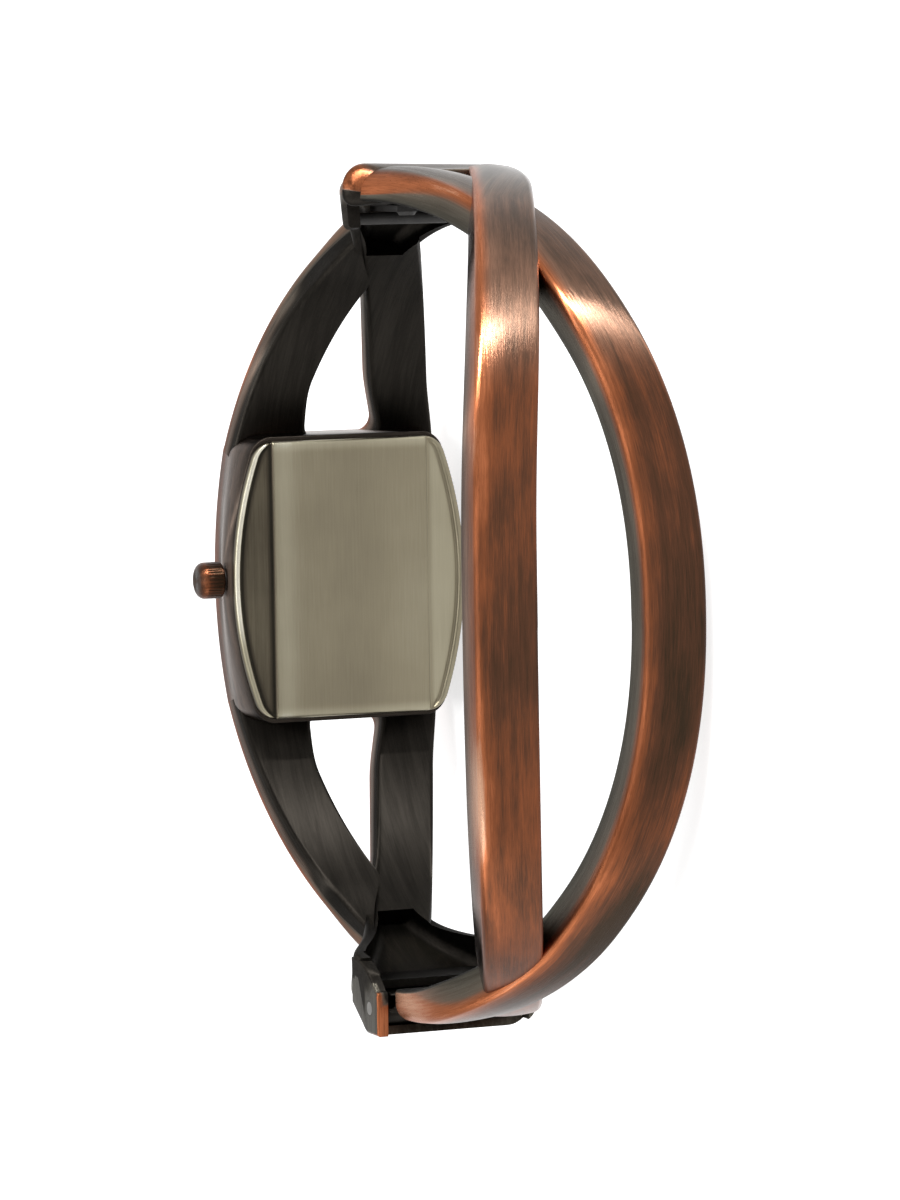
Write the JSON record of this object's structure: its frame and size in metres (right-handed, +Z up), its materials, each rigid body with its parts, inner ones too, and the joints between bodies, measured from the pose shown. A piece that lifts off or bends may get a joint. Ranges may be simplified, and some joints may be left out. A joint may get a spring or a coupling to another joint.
{
  "type": "bangle watch",
  "caption": "Hinged bangle watch: a quartz watch with a rectangular bowed case in an oval ring of crossing antique-copper strands, with a snap clasp opposite the hinge.",
  "frame": {"origin": "on the surface that the watch lies on, under the middle of its box, with the watch on its 9 o'clock side", "axes": "+X towards 6 o'clock and the hinge, +Y from the dial towards the wrist, +Z up through the crown"},
  "size_m": [0.0638, 0.0526, 0.0208],
  "materials": {
    "antique_copper": "antique copper plate, brushed along the strands, dark in the low places and bright on the edges",
    "case_back_steel": "satin stainless steel with a soft olive reflection",
    "polished_steel": "plain turned steel",
    "spring_steel": "tempered spring steel",
    "nitrile": "matt black",
    "white_nylon": "moulded, matt",
    "movement_plate": "fine turned brass",
    "nickel_bridge": "nickel plated, fine brushed",
    "board": "green solder mask",
    "coil_wire": "enamelled copper wire",
    "battery_can": "nickel plated can",
    "wheel_brass": "cut brass",
    "dial_paint": "cream dial lacquer over brass",
    "marker_metal": "copper toned applied markers",
    "hand_metal": "dark oxidised metal",
    "second_paint": "copper red lacquer",
    "crystal_glass": "clear mineral glass"
  },
  "bodies": {
    "watch": {"watch_half": "antique_copper", "hinge_pin": "polished_steel", "catch_bar": "polished_steel", "case_back": "case_back_steel", "case_back_gasket": "nitrile", "movement_holder": "white_nylon", "main_plate": "movement_plate", "train_bridge": "nickel_bridge", "circuit_board": "board", "coil": "coil_wire", "battery_cell": "battery_can", "battery_strap": "spring_steel", "movement_screws": "polished_steel", "crown_tube": "polished_steel", "dial": "dial_paint", "hour_markers": "marker_metal", "dial_ring": "dial_paint", "crystal": "crystal_glass", "crystal_gasket": "white_nylon"},
    "back": {"back_half": "antique_copper", "clasp_tongue": "spring_steel", "tongue_rivets": "polished_steel"},
    "setting": {"setting_pinion": "polished_steel"},
    "crown": {"stem": "polished_steel", "crown": "antique_copper", "crown_gasket": "nitrile"},
    "hour": {"hour_wheel": "wheel_brass", "hour_hand": "hand_metal"},
    "minute": {"cannon_pinion": "wheel_brass", "centre_wheel": "wheel_brass", "minute_hand": "hand_metal"},
    "second": {"seconds_arbor": "polished_steel", "seconds_wheel": "wheel_brass", "second_hand": "second_paint"}
  },
  "joints": [
    {"name": "back_half_hinge", "type": "hinge", "parent": "watch", "child": "back", "pos_m": [0.02995, -0.0008, 0.00945], "axis": [0, 0, -1], "range_deg": [0, 55]},
    {"name": "crown_turn", "type": "hinge", "parent": "watch", "child": "setting", "pos_m": [-0.00025, -0.02235, 0.01845], "axis": [0, 0, 1], "continuous": true},
    {"name": "crown_pull", "type": "slide", "parent": "setting", "child": "crown", "axis": [0, 0, 1], "range_m": [0, 0.0007]},
    {"name": "minute_turn", "type": "hinge", "parent": "watch", "child": "minute", "pos_m": [-0.00025, -0.0241, 0.00945], "axis": [0, 1, 0], "continuous": true},
    {"name": "hour_turn", "type": "hinge", "parent": "watch", "child": "hour", "pos_m": [-0.00025, -0.0238, 0.00945], "axis": [0, 1, 0], "continuous": true},
    {"name": "second_turn", "type": "hinge", "parent": "watch", "child": "second", "pos_m": [-0.00025, -0.0244, 0.00945], "axis": [0, 1, 0], "continuous": true}
  ],
  "couplings": [
    {"joint": "hour_turn", "follows": "minute_turn", "ratio": 0.083333}
  ]
}
